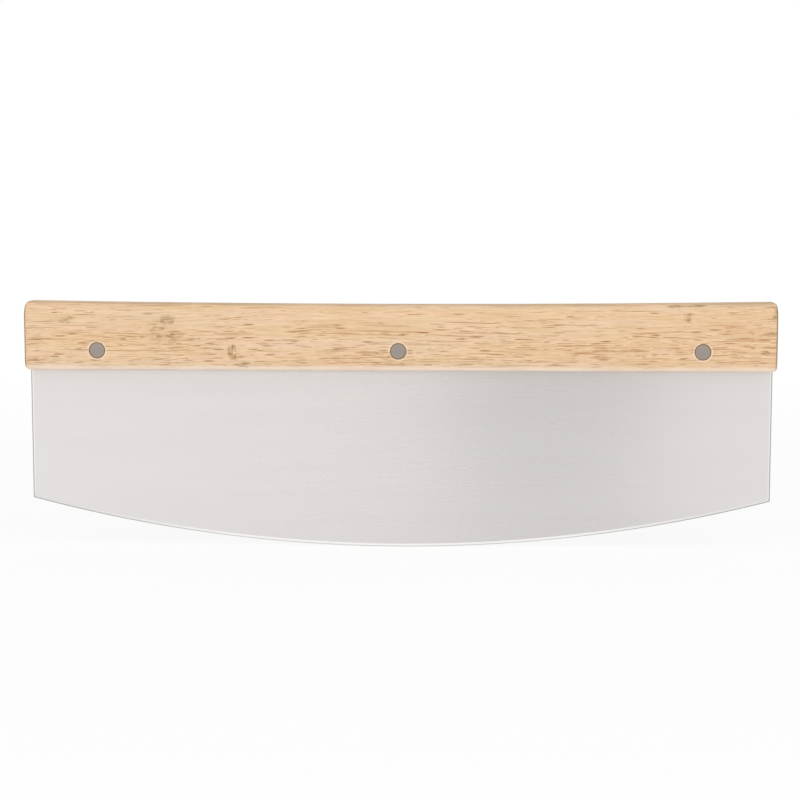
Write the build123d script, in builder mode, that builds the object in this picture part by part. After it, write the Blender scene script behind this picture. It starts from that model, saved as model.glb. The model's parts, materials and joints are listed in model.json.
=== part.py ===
from build123d import *
import os

os.makedirs("parts", exist_ok=True)

# Rocking pizza knife, in millimetres. +X runs along the handle, the front faces -Y, +Z is up.
# The origin is the lowest point of the cutting edge, in the middle of the blade's thickness.

# Handle: one bar of hardwood
handle_length = 350
handle_height = 32
handle_thickness = 22
top_hollow = 1.4
top_edge_radius = 7
bottom_edge_radius = 4.5
end_edge_radius = 1.6

# Blade: one sheet, straight at its sides and curved along its cutting edge
blade_end_inset = 0.7
blade_thickness = 1.5
blade_middle_drop = 84.5
blade_corner_drop = 61.9
tang_above_rivets = 9.45
tang_corner_radius = 2
side_edge_chamfer = 0.25

# Cutting edge: a long bevel and a short steeper one, ground from both sides down to a land
long_bevel_height = 1.5
long_bevel_depth = 0.375
edge_bevel_height = 0.5
edge_land = 0.2

# Saw kerf in the handle's underside, which holds the tang
kerf_side_clearance = 0.1
kerf_end_clearance = 0.5

# Rivets: a socket half from the front and a stud half from the back
rivet_from_handle_end = 34.35
rivet_rim_to_rounding = 1.2
rivet_head_diameter = 7.2
rivet_head_thickness = 1.6
rivet_head_chamfer = 0.15
socket_tube_diameter = 4.8
socket_floor = 0.8
stud_diameter = 3.2

# Fits and recesses of the rivets
head_sink = 0.1
head_clearance = 0.05
tube_clearance = 0.1
stud_clearance = 0.01
stud_end_gap = 1
recess_rim_chamfer = 0.1

# Every cut runs this far past the surface it opens through
overrun = 1

# Heights and half sizes that follow from the values above
handle_bottom = blade_middle_drop
handle_top = handle_bottom + handle_height
corner_height = blade_middle_drop - blade_corner_drop
half_length = handle_length / 2
half_thickness = handle_thickness / 2
half_blade = half_length - blade_end_inset
rivet_spacing = half_length - rivet_from_handle_end
kerf_width = blade_thickness + 2 * kerf_side_clearance
edge_bevel_depth = (blade_thickness - edge_land) / 2 - long_bevel_depth

# The rivets keep their recesses clear of the bottom rounding, and the tang ends above the rivets
recess_diameter = rivet_head_diameter + 2 * head_clearance
recess_rim_radius = recess_diameter / 2 + recess_rim_chamfer
rivet_height = handle_bottom + bottom_edge_radius + rivet_rim_to_rounding + recess_rim_radius
tang_top = rivet_height + tang_above_rivets
kerf_depth = tang_top - handle_bottom + kerf_end_clearance

# Rivet lengths that follow from the handle's thickness
recess_depth = head_sink + rivet_head_thickness
tube_hole_diameter = socket_tube_diameter + 2 * tube_clearance
tube_bore = stud_diameter + 2 * stud_clearance
tube_length = handle_thickness - 2 * recess_depth
bore_depth = tube_length + rivet_head_thickness - socket_floor
stud_length = bore_depth - stud_end_gap

rivet_places = {"left": -rivet_spacing, "centre": 0, "right": rivet_spacing}
hole_places = [(x, 0) for x in rivet_places.values()]

# The handle's two flat sides, each facing outwards at the height of the rivets
front_side = Plane(origin=(0, -half_thickness, rivet_height), x_dir=(1, 0, 0), z_dir=(0, -1, 0))
back_side = Plane(origin=(0, half_thickness, rivet_height), x_dir=(1, 0, 0), z_dir=(0, 1, 0))


# Handle: its top is hollow by a shallow arc, and every outer edge is rounded
with BuildPart() as handle:
    with BuildSketch(Plane.XZ):
        with BuildLine():
            Polyline(
                (-half_length, handle_top),
                (-half_length, handle_bottom),
                (half_length, handle_bottom),
                (half_length, handle_top),
            )
            ThreePointArc(
                (half_length, handle_top),
                (0, handle_top - top_hollow),
                (-half_length, handle_top),
            )
        make_face()
    extrude(amount=half_thickness, both=True)
    fillet(handle.edges().filter_by(GeomType.CIRCLE), top_edge_radius)
    fillet(handle.edges().filter_by(Axis.X), bottom_edge_radius)
    fillet(handle.faces().sort_by(Axis.X)[0].edges(), end_edge_radius)
    fillet(handle.faces().sort_by(Axis.X)[-1].edges(), end_edge_radius)

    # The kerf is open along the underside and at both ends
    with BuildSketch(Plane.YZ):
        with Locations((0, handle_bottom - overrun)):
            Rectangle(kerf_width, kerf_depth + overrun, align=(Align.CENTER, Align.MIN))
    extrude(amount=half_length + overrun, both=True, mode=Mode.SUBTRACT)

    # The rivet holes, with a recess for a head on each side
    for side in (front_side, back_side):
        with Locations(side):
            with Locations(*hole_places):
                CounterBoreHole(
                    radius=tube_hole_diameter / 2,
                    counter_bore_radius=recess_diameter / 2,
                    counter_bore_depth=recess_depth,
                    depth=half_thickness,
                )
    chamfer(handle.faces().sort_by(Axis.Y)[0].inner_wires().edges(), recess_rim_chamfer)
    chamfer(handle.faces().sort_by(Axis.Y)[-1].inner_wires().edges(), recess_rim_chamfer)
handle.part.label = "handle"
export_step(handle.part, "parts/handle.step")


# Blade: the band above handle_bottom is the tang, with a hole for each rivet
with BuildPart() as blade:
    with BuildSketch(Plane.XZ):
        with BuildLine():
            Polyline(
                (-half_blade, corner_height),
                (-half_blade, tang_top),
                (half_blade, tang_top),
                (half_blade, corner_height),
            )
            ThreePointArc((half_blade, corner_height), (0, 0), (-half_blade, corner_height))
        make_face()
    extrude(amount=blade_thickness / 2, both=True)
    fillet(blade.edges().filter_by(Axis.Y).group_by(Axis.Z)[-1], tang_corner_radius)

    # Both bevels run along the whole arc, and the short one starts on the long one's outer edge
    for sheet_side in blade.faces().filter_by(Axis.Y):
        cutting_edge = sheet_side.edges().filter_by(GeomType.CIRCLE).sort_by(SortBy.LENGTH)[-1]
        chamfer(cutting_edge, long_bevel_height, long_bevel_depth, reference=sheet_side)
    for long_bevel in blade.faces().filter_by(GeomType.CONE):
        outer_edge = long_bevel.edges().filter_by(GeomType.CIRCLE).sort_by(SortBy.RADIUS)[-1]
        chamfer(outer_edge, edge_bevel_height, edge_bevel_depth, reference=long_bevel)
    chamfer(blade.edges().filter_by(Axis.Z), side_edge_chamfer)

    with BuildSketch(Plane.XZ.offset(blade_thickness / 2)):
        with Locations((0, rivet_height)):
            with Locations(*hole_places):
                Circle(tube_hole_diameter / 2)
    extrude(amount=-blade_thickness, mode=Mode.SUBTRACT)
blade.part.label = "blade"
export_step(blade.part, "parts/blade.step")


# Rivets: the socket's tube runs through wood and blade, and the stud is driven into its bore
for place_name, x in rivet_places.items():
    front_head = Plane(
        origin=(x, -half_thickness + head_sink, rivet_height), x_dir=(1, 0, 0), z_dir=(0, -1, 0)
    )
    back_head = Plane(
        origin=(x, half_thickness - head_sink, rivet_height), x_dir=(1, 0, 0), z_dir=(0, 1, 0)
    )

    with BuildPart() as socket:
        with BuildSketch(front_head):
            Circle(rivet_head_diameter / 2)
        extrude(amount=-rivet_head_thickness)
        chamfer(socket.faces().sort_by(Axis.Y)[0].edges(), rivet_head_chamfer)
        with BuildSketch(front_head.offset(-rivet_head_thickness)):
            Circle(socket_tube_diameter / 2)
        extrude(amount=-tube_length)
        with BuildSketch(front_head.offset(-rivet_head_thickness - tube_length)):
            Circle(tube_bore / 2)
        extrude(amount=bore_depth, mode=Mode.SUBTRACT)
    socket.part.label = f"rivet_socket_{place_name}"
    export_step(socket.part, f"parts/rivet_socket_{place_name}.step")

    with BuildPart() as stud:
        with BuildSketch(back_head):
            Circle(rivet_head_diameter / 2)
        extrude(amount=-rivet_head_thickness)
        chamfer(stud.faces().sort_by(Axis.Y)[-1].edges(), rivet_head_chamfer)
        with BuildSketch(back_head.offset(-rivet_head_thickness)):
            Circle(stud_diameter / 2)
        extrude(amount=-stud_length)
    stud.part.label = f"rivet_stud_{place_name}"
    export_step(stud.part, f"parts/rivet_stud_{place_name}.step")
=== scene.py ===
"""The looks of a rocking pizza knife: a rubberwood bar, a brushed steel blade and three rivets.

Lengths are in metres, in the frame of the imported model: +X runs along the handle, the front
faces -Y, +Z is up, and the origin is the lowest point of the cutting edge.
"""

import json
import logging
import math
from collections.abc import Callable, Sequence
from dataclasses import dataclass
from enum import Enum
from functools import cached_property, reduce
from typing import Any

import bmesh
import bpy
import numpy as np
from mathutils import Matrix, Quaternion, Vector

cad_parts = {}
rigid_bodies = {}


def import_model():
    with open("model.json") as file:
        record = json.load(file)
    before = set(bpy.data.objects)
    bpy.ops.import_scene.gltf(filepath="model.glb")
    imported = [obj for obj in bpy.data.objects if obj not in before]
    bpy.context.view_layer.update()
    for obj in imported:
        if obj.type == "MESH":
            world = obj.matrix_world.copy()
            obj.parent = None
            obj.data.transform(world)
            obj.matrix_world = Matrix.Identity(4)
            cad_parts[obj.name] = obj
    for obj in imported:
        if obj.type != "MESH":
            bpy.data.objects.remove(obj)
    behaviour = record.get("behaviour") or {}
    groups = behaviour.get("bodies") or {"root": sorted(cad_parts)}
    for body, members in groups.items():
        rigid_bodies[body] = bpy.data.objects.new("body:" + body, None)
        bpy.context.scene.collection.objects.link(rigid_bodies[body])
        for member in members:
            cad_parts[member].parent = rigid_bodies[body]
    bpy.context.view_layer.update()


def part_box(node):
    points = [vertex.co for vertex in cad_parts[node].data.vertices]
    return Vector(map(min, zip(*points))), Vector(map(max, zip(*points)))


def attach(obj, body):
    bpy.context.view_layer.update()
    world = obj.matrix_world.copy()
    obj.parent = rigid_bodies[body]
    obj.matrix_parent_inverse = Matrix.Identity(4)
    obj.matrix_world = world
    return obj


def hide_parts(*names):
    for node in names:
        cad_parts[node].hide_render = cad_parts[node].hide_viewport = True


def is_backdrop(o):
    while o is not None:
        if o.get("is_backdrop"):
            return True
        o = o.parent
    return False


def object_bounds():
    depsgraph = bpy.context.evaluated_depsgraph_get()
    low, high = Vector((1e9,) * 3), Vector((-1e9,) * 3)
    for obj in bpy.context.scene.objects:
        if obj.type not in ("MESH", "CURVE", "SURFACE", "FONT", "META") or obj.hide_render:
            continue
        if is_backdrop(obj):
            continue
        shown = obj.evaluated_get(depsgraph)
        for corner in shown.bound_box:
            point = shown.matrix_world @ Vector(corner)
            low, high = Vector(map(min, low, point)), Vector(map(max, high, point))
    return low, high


MM = 0.001
WELD_DISTANCE = 0.001 * MM
SHARP_ANGLE = math.radians(11)
MIRRORED = np.array((1.0, -1.0, 1.0))

Colour = tuple[float, float, float, float]
Socket = bpy.types.NodeSocket

NOISE_REACH = (0.3, 0.7)
WHITE = (1.0, 1.0, 1.0, 1.0)

log = logging.getLogger("pizza_knife")


class Slot(Enum):
    """The record's material slots."""

    WOOD = "handle_wood"
    STEEL = "blade_steel"
    RIVET = "rivet_metal"


class RivetHalf(Enum):
    """The two halves of a rivet, each with the sign of Y on its head's side."""

    SOCKET = -1
    STUD = 1


def srgb(red: float, green: float, blue: float) -> Colour:
    """Turns a screen colour into the linear one that shaders take.

    Args:
        red: Red, from 0 to 255.
        green: Green, from 0 to 255.
        blue: Blue, from 0 to 255.

    Returns:
        The linear colour, each part ((c + 0.055) / 1.055) to the power 2.4, with alpha 1.
    """
    parts = [((part / 255 + 0.055) / 1.055) ** 2.4 for part in (red, green, blue)]
    return (*parts, 1.0)


@dataclass
class Grid:
    """Points in rows and columns, whose neighbours are joined by quads.

    Attributes:
        points: Array of rows by columns by 3.
        left_out: Mask of the quads that a hole takes away, or None.
    """

    points: np.ndarray
    left_out: np.ndarray | None = None

    def quads(self) -> np.ndarray:
        """Numbers the corners of the quads that stay.

        Returns:
            The four point numbers of each quad, one quad a row.
        """
        rows, columns = self.points.shape[:2]
        number = np.arange(rows * columns).reshape(rows, columns)
        corners = (number[:-1, :-1], number[:-1, 1:], number[1:, 1:], number[1:, :-1])
        quads = np.stack(corners, axis=-1)
        if self.left_out is not None:
            quads = quads[~self.left_out]
        return quads.reshape(-1, 4)

    def mirrored(self) -> "Grid":
        """Gives the same grid on the other side of the plane y = 0."""
        return Grid(self.points * MIRRORED, self.left_out)


@dataclass(frozen=True)
class RivetPlace:
    """One rivet's name and the place of its axis, which runs along Y.

    Attributes:
        name: left, centre or right.
        x: Place along the handle.
        z: Height.
    """

    name: str
    x: float
    z: float


@dataclass(frozen=True)
class HolePatch:
    """The square of a flat side that is remeshed in rings round a rivet's hole.

    Attributes:
        half_side: Half the square's side.
        cells: Quads along each side, so that its edge meets the plain grid.
    """

    half_side: float = 5.0 * MM
    cells: int = 12

    def lines(self, middle: float) -> np.ndarray:
        """Gives the grid lines across the square, whose middle is given."""
        return np.linspace(middle - self.half_side, middle + self.half_side, self.cells + 1)

    def covers(self, lines: np.ndarray, middle: float) -> np.ndarray:
        """Tells which gaps between neighbouring lines lie in the square."""
        between = (lines[:-1] + lines[1:]) / 2
        return np.abs(between - middle) < self.half_side

    def leave_out(
        self, points: np.ndarray, lines: np.ndarray, rivets: Sequence[RivetPlace]
    ) -> Grid:
        """Makes a grid that leaves the squares out.

        Args:
            points: The grid's points: places along the knife by points by 3.
            lines: The numbers of the grid lines across the squares.
            rivets: The rivets.

        Returns:
            The grid.
        """
        left_out = np.zeros(np.subtract(points.shape[:2], 1), bool)
        for place in rivets:
            rows = np.flatnonzero(self.covers(points[:, 0, 0], place.x))
            left_out[np.ix_(rows, lines[:-1])] = True
        return Grid(points, left_out)

    def rings(self, place: RivetPlace, steps: Sequence[tuple[float | None, float]]) -> Grid:
        """Carries the square's edge inwards, ring by ring, into the hole and out again.

        A point of the square's edge is (u, v) with the larger of |u| and |v| equal to 1. Its
        point on a circle of radius r is r * (u, v) / length of (u, v).

        Args:
            place: The rivet whose hole it is.
            steps: Radius and y of each ring, in order. None for a radius gives the square.

        Returns:
            A grid with one row for each ring.
        """
        side = np.linspace(-1.0, 1.0, self.cells + 1)
        one = np.ones_like(side)
        u = np.concatenate((side, one[1:], -side[1:], -one[1:]))
        v = np.concatenate((-one, side[1:], one[1:], -side[1:]))
        size = np.hypot(u, v)
        rows = []
        for radius, y in steps:
            reach = self.half_side if radius is None else radius / size
            ring = (place.x + reach * u, np.full_like(u, y), place.z + reach * v)
            rows.append(np.stack(ring, axis=-1))
        return Grid(np.stack(rows))


def stations(
    start: float, end: float, patch: HolePatch, rivets: Sequence[RivetPlace], spacing: float
) -> np.ndarray:
    """Spreads places along the knife, with the grid lines of each rivet's square among them.

    Args:
        start: The first place.
        end: The last place.
        patch: The square round each hole.
        rivets: The rivets, from left to right.
        spacing: About how far apart the places are between the squares.

    Returns:
        The places, in rising order.
    """
    parts, cursor = [], start
    for place in rivets:
        lines = patch.lines(place.x)
        count = max(2, round((lines[0] - cursor) / spacing) + 1)
        parts += [np.linspace(cursor, lines[0], count), lines]
        cursor = lines[-1]
    parts.append(np.linspace(cursor, end, max(2, round((end - cursor) / spacing) + 1)))
    return np.unique(np.round(np.concatenate(parts), 9))


def new_object(name: str, data: bpy.types.ID) -> bpy.types.Object:
    """Puts a new object into the scene, at the origin and unturned.

    Args:
        name: Its name.
        data: Its mesh, light or camera.

    Returns:
        The object.
    """
    made = bpy.data.objects.new(name, data)
    bpy.context.scene.collection.objects.link(made)
    return made


def closed_object(
    name: str, grids: Sequence[Grid], caps: Sequence[np.ndarray] = ()
) -> bpy.types.Object:
    """Joins grids and flat caps into one closed mesh, at the origin and unturned.

    Points that meet are merged, which also shrinks a pole's quads to triangles, and every face
    is turned outwards. Edges sharper than SHARP_ANGLE stay crisp.

    Args:
        name: The object's name.
        grids: The grids that make the surface.
        caps: Loops of points, each closed by one flat face.

    Returns:
        The object, linked to the scene.
    """
    points = [grid.points.reshape(-1, 3) for grid in grids] + list(caps)
    starts = np.concatenate(([0], np.cumsum([len(part) for part in points])))
    faces = []
    for grid, start in zip(grids, starts):
        faces += (grid.quads() + start).tolist()
    for cap, start in zip(caps, starts[len(grids):]):
        faces.append((np.arange(len(cap)) + start).tolist())
    mesh = bpy.data.meshes.new(name)
    mesh.from_pydata(np.concatenate(points), [], faces)
    work = bmesh.new()
    work.from_mesh(mesh)
    bmesh.ops.remove_doubles(work, verts=work.verts, dist=WELD_DISTANCE)
    bmesh.ops.recalc_face_normals(work, faces=work.faces)
    work.to_mesh(mesh)
    work.free()
    mesh.shade_smooth()
    mesh.set_sharp_from_angle(angle=SHARP_ANGLE)
    made = new_object(name, mesh)
    crisp = made.modifiers.new("flat_faces_shade_flat", "WEIGHTED_NORMAL")
    crisp.keep_sharp = True
    return made


class Board:
    """Places nodes in one node tree and joins them, so that a finish reads like a formula."""

    def __init__(self, tree: bpy.types.NodeTree) -> None:
        """Takes the tree, a material's, a world's or a group's, that the nodes go into."""
        self.tree = tree

    def add(
        self, kind: str, inputs: dict[str | int, Any] | None = None, **settings: Any
    ) -> bpy.types.Node:
        """Places one node.

        Args:
            kind: Blender's name for the kind of node.
            inputs: A value or a socket for each named or numbered input.
            settings: Values for the node's own settings.

        Returns:
            The node.
        """
        node = self.tree.nodes.new(kind)
        for name, value in settings.items():
            setattr(node, name, value)
        for name, value in (inputs or {}).items():
            self.feed(node.inputs[name], value)
        return node

    def feed(self, target: Socket, value: Any) -> None:
        """Joins a socket to another, or sets a plain value on it.

        Args:
            target: The socket that is fed.
            value: The socket or the plain value that it takes.
        """
        if isinstance(value, bpy.types.NodeSocket):
            self.tree.links.new(value, target)
        else:
            target.default_value = value

    def supply(self, node: bpy.types.Node, **inputs: Any) -> None:
        """Feeds a node's inputs by name, with _ for the spaces in each name."""
        for name, value in inputs.items():
            self.feed(node.inputs[name.replace("_", " ")], value)

    def math(self, operation: str, *values: float | Socket) -> Socket:
        """Works out one sum of one or two numbers, such as ABSOLUTE, DIVIDE or LESS_THAN."""
        return self.add("ShaderNodeMath", dict(enumerate(values)), operation=operation).outputs[0]

    def chain(self, operation: str, *values: float | Socket) -> Socket:
        """Works out a sum of several numbers, such as MAXIMUM, from left to right."""
        return reduce(lambda so_far, value: self.math(operation, so_far, value), values)

    def plus(self, *values: float | Socket) -> Socket:
        """Adds numbers up."""
        return self.chain("ADD", *values)

    def minus(self, *values: float | Socket) -> Socket:
        """Takes the later numbers off the first."""
        return self.chain("SUBTRACT", *values)

    def times(self, *values: float | Socket) -> Socket:
        """Multiplies numbers."""
        return self.chain("MULTIPLY", *values)

    def size(self, value: Socket) -> Socket:
        """Gives how far a number is from 0."""
        return self.math("ABSOLUTE", value)

    def vector(self, operation: str, *values: Any) -> Socket:
        """Works out one sum of vectors, such as ADD, SUBTRACT, MULTIPLY or DIVIDE."""
        inputs = dict(enumerate(values))
        return self.add("ShaderNodeVectorMath", inputs, operation=operation).outputs[0]

    def shifted(self, value: Socket, x: float, y: float, z: float) -> Socket:
        """Shifts a position, so that a pattern on it is another one."""
        return self.vector("ADD", value, (x, y, z))

    def length(self, value: Socket) -> Socket:
        """Gives the length of a vector."""
        return self.add("ShaderNodeVectorMath", {0: value}, operation="LENGTH").outputs["Value"]

    def split(self, value: Socket) -> tuple[Socket, Socket, Socket]:
        """Gives the x, y and z of a vector."""
        return tuple(self.add("ShaderNodeSeparateXYZ", {0: value}).outputs)

    def join(self, x: Any, y: Any, z: Any) -> Socket:
        """Makes a vector of three numbers."""
        return self.add("ShaderNodeCombineXYZ", {0: x, 1: y, 2: z}).outputs[0]

    def fade(
        self, value: Socket, start: Any, end: Any, low: Any = 0.0, high: Any = 1.0
    ) -> Socket:
        """Steps smoothly from low, where the value is start, to high, where it is end."""
        inputs = {"Value": value, "From Min": start, "From Max": end, "To Min": low, "To Max": high}
        return self.add("ShaderNodeMapRange", inputs, interpolation_type="SMOOTHSTEP").outputs[0]

    def noise(
        self,
        value: Socket,
        scale: float,
        detail: float = 2.0,
        roughness: float = 0.5,
        squeeze: tuple[float, float, float] | None = None,
    ) -> Socket:
        """Gives smooth noise, from 0 to 1 and about 0.5 on average.

        Args:
            value: The position.
            scale: About how many bumps there are in a metre.
            detail: How many finer layers lie on the first.
            roughness: How strong the finer layers are.
            squeeze: How much narrower the bumps are along X, Y and Z, or None.

        Returns:
            The noise.
        """
        place = self.vector("MULTIPLY", value, squeeze) if squeeze else value
        inputs = {"Vector": place, "Scale": scale, "Detail": detail, "Roughness": roughness}
        return self.add("ShaderNodeTexNoise", inputs).outputs[0]

    def vary(self, noise: Socket, low: float = 0.0, high: float = 1.0) -> Socket:
        """Turns noise into a value: low at the first of NOISE_REACH, high at the second."""
        return self.fade(noise, *NOISE_REACH, low, high)

    def blend(self, amount: Any, first: Any, second: Any, mode: str = "MIX") -> Socket:
        """Blends two colours, from the first at amount 0 to the second at amount 1."""
        inputs = {0: amount, 6: first, 7: second}
        return self.add("ShaderNodeMix", inputs, data_type="RGBA", blend_type=mode).outputs[2]


@dataclass(frozen=True)
class Effect:
    """A node group that several finishes use, built once.

    Attributes:
        tree: The group's node tree.
    """

    tree: bpy.types.ShaderNodeTree

    @classmethod
    def build(
        cls,
        name: str,
        inputs: dict[str, float | tuple[float, float, float]],
        output: str,
        recipe: Callable[[Board, dict[str, Socket]], Socket],
    ) -> "Effect":
        """Builds the group.

        Args:
            name: The group's name.
            inputs: Each input's name and its plain value; three numbers make it a vector.
            output: The name of its one output, a number.
            recipe: Works the output out of the inputs.

        Returns:
            The effect.
        """
        tree = bpy.data.node_groups.new(name, "ShaderNodeTree")
        for label, value in inputs.items():
            kind = "NodeSocketVector" if isinstance(value, tuple) else "NodeSocketFloat"
            socket = tree.interface.new_socket(name=label, in_out="INPUT", socket_type=kind)
            socket.default_value = value
        tree.interface.new_socket(name=output, in_out="OUTPUT", socket_type="NodeSocketFloat")
        board = Board(tree)
        entry = board.add("NodeGroupInput")
        leave = board.add("NodeGroupOutput")
        board.feed(leave.inputs[0], recipe(board, {label: entry.outputs[label] for label in inputs}))
        return cls(tree)

    def use(self, board: Board, **inputs: Any) -> Socket:
        """Places the effect in a finish.

        Args:
            board: The finish's board.
            inputs: A value or socket for each input, with _ for the spaces in its name.

        Returns:
            The effect's output.
        """
        node = board.add("ShaderNodeGroup", node_tree=self.tree)
        board.supply(node, **inputs)
        return node.outputs[0]


class Effects:
    """The effects that the finishes share: streaks, dashes, marks and the way to a rivet."""

    def __init__(self) -> None:
        """Builds each effect once."""
        origin = (0.0, 0.0, 0.0)
        self.streaks = Effect.build(
            "Streaks",
            {"Position": origin, "Length": 30.0 * MM, "Width": 0.5 * MM, "Detail": 3.0},
            "Value",
            self._streaks,
        )
        cell = {"Spacing Along": 20.0 * MM, "Spacing Across": 1.5 * MM}
        self.dashes = Effect.build(
            "Dashes", {"Position": origin, **cell, "Size": 0.25, "Share": 0.7}, "Mask", self._dashes
        )
        self.mark = Effect.build(
            "Oval Mark",
            {"Position": origin, "Centre": origin, "Half Size": (MM, MM, MM)},
            "Mask",
            self._mark,
        )
        self.rivet_distance = Effect.build(
            "Rivet Distance",
            {"Position": origin, "Spacing": 140.0 * MM, "Height": 93.0 * MM},
            "Distance",
            self._rivet_distance,
        )

    @staticmethod
    def _streaks(board: Board, given: dict[str, Socket]) -> Socket:
        """Draws noise out along X: noise of the position divided by (length, width, width).

        Args:
            board: The group's board.
            given: Its inputs.

        Returns:
            The noise, from 0 to 1.
        """
        size = board.join(given["Length"], given["Width"], given["Width"])
        stretched = board.vector("DIVIDE", given["Position"], size)
        inputs = {"Vector": stretched, "Scale": 1.0, "Detail": given["Detail"]}
        return board.add("ShaderNodeTexNoise", inputs).outputs[0]

    @staticmethod
    def _dashes(board: Board, given: dict[str, Socket]) -> Socket:
        """Draws ovals out along X, one to a cell, of random size and strength, some left out.

        A point's distance from its cell's centre is measured in cells. The mask falls from 1 to 0
        over the outer half of the oval, times a random strength.

        Args:
            board: The group's board.
            given: Its inputs.

        Returns:
            The mask of the ovals.
        """
        cell = board.join(given["Spacing Along"], given["Spacing Across"], given["Spacing Across"])
        stretched = board.vector("DIVIDE", given["Position"], cell)
        cells = board.add("ShaderNodeTexVoronoi", {"Vector": stretched, "Scale": 1.0})
        chance, growth, strength = board.split(cells.outputs["Color"])
        kept = board.math("LESS_THAN", chance, given["Share"])
        reach = board.times(given["Size"], board.fade(growth, 0.0, 1.0, 0.45, 1.0))
        oval = board.fade(cells.outputs["Distance"], reach, board.times(reach, 0.5))
        return board.times(oval, board.fade(strength, 0.0, 1.0, 0.35, 1.0), kept)

    @staticmethod
    def _mark(board: Board, given: dict[str, Socket]) -> Socket:
        """Gives 1 in the middle of an oval, falling to 0 at its edge."""
        away = board.vector("SUBTRACT", given["Position"], given["Centre"])
        return board.fade(board.length(board.vector("DIVIDE", away, given["Half Size"])), 1.1, 0.45)

    @staticmethod
    def _rivet_distance(board: Board, given: dict[str, Socket]) -> Socket:
        """Measures how far a point is from the nearest rivet's axis, in the plane of the blade.

        Args:
            board: The group's board.
            given: Its inputs.

        Returns:
            The distance.
        """
        x, _, z = board.split(given["Position"])
        aside = board.size(x)
        nearest = board.math("MINIMUM", aside, board.size(board.minus(aside, given["Spacing"])))
        return board.length(board.join(nearest, 0.0, board.minus(z, given["Height"])))


class Bench(Board):
    """The board of one material, on which a finish is laid coat by coat.

    Attributes:
        material: The material.
        shader: Its Principled shader.
        colour: The colour of the coats so far.
        effects: The shared effects.
        place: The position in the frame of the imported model.
    """

    def __init__(self, name: str, colour: Colour, effects: Effects | None = None) -> None:
        """Starts a material.

        Args:
            name: The material's name.
            colour: Its first coat.
            effects: The shared effects, where the finish uses any.
        """
        self.material = bpy.data.materials.new(name)
        self.material.use_nodes = True
        super().__init__(self.material.node_tree)
        self.shader = self.tree.nodes["Principled BSDF"]
        self.colour: Colour | Socket = colour
        self.effects = effects
        self.place = self.add("ShaderNodeTexCoord").outputs["Object"]

    @cached_property
    def xyz(self) -> tuple[Socket, Socket, Socket]:
        """The x, y and z of the position."""
        return self.split(self.place)

    def coat(self, amount: Any, colour: Any, mode: str = "MIX") -> None:
        """Lays a colour over the coats so far, more strongly where the amount is higher."""
        self.colour = self.blend(amount, self.colour, colour, mode)

    def dim(self, shade: Socket) -> None:
        """Multiplies the colour of the coats so far by a number."""
        self.coat(1.0, self.join(shade, shade, shade), "MULTIPLY")

    def streaks(self, place: Socket, length: float, width: float, detail: float = 2.0) -> Socket:
        """Gives noise drawn out along X, whose bumps are about so long and so wide."""
        sizes = {"Length": length, "Width": width, "Detail": detail}
        return self.effects.streaks.use(self, Position=place, **sizes)

    def dashes(
        self, place: Socket, along: float, across: float, size: float, share: float | Socket
    ) -> Socket:
        """Gives scattered ovals drawn out along X.

        Args:
            place: The position.
            along: The length of a cell, which holds one oval at most.
            across: The width of a cell.
            size: The largest oval's half size, in cells.
            share: The share of the cells that have an oval.

        Returns:
            The mask of the ovals.
        """
        cell = {"Spacing_Along": along, "Spacing_Across": across}
        return self.effects.dashes.use(self, Position=place, **cell, Size=size, Share=share)

    def from_rivet(self, rivets: Sequence[RivetPlace]) -> Socket:
        """Gives the distance from the nearest of the three rivets' axes."""
        outer = {"Spacing": rivets[-1].x, "Height": rivets[-1].z}
        return self.effects.rivet_distance.use(self, Position=self.place, **outer)

    def dress(
        self, relief: Socket, strength: float, depth: float, **inputs: Any
    ) -> bpy.types.Material:
        """Feeds the shader with the coats, a relief and the other inputs.

        Args:
            relief: The height of the surface, as a share of the depth.
            strength: How strongly the relief turns the surface.
            depth: The relief's depth.
            inputs: A value or socket for each other input, with _ for the spaces in its name.

        Returns:
            The material.
        """
        bump = self.add("ShaderNodeBump", {"Strength": strength, "Distance": depth, "Height": relief})
        self.supply(self.shader, Base_Color=self.colour, Normal=bump.outputs[0], **inputs)
        return self.material


@dataclass(frozen=True)
class WoodMark:
    """A stain, scar or dark fibre on the front of the handle.

    Attributes:
        x: Place along the handle, in millimetres.
        z: Height, in millimetres.
        half_length: Half its length along the handle, in millimetres.
        half_height: Half its height, in millimetres.
        colour: What it stains the wood to.
        strength: How far, from 0 to 1.
        frayed: Whether its outline is frayed, not smooth.
    """

    x: float
    z: float
    half_length: float
    half_height: float
    colour: Colour
    strength: float
    frayed: bool = False


OLIVE = srgb(166, 137, 92)
BROWN = srgb(166, 124, 82)
RUSSET = srgb(204, 148, 108)
CREAM = srgb(255, 218, 172)

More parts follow.
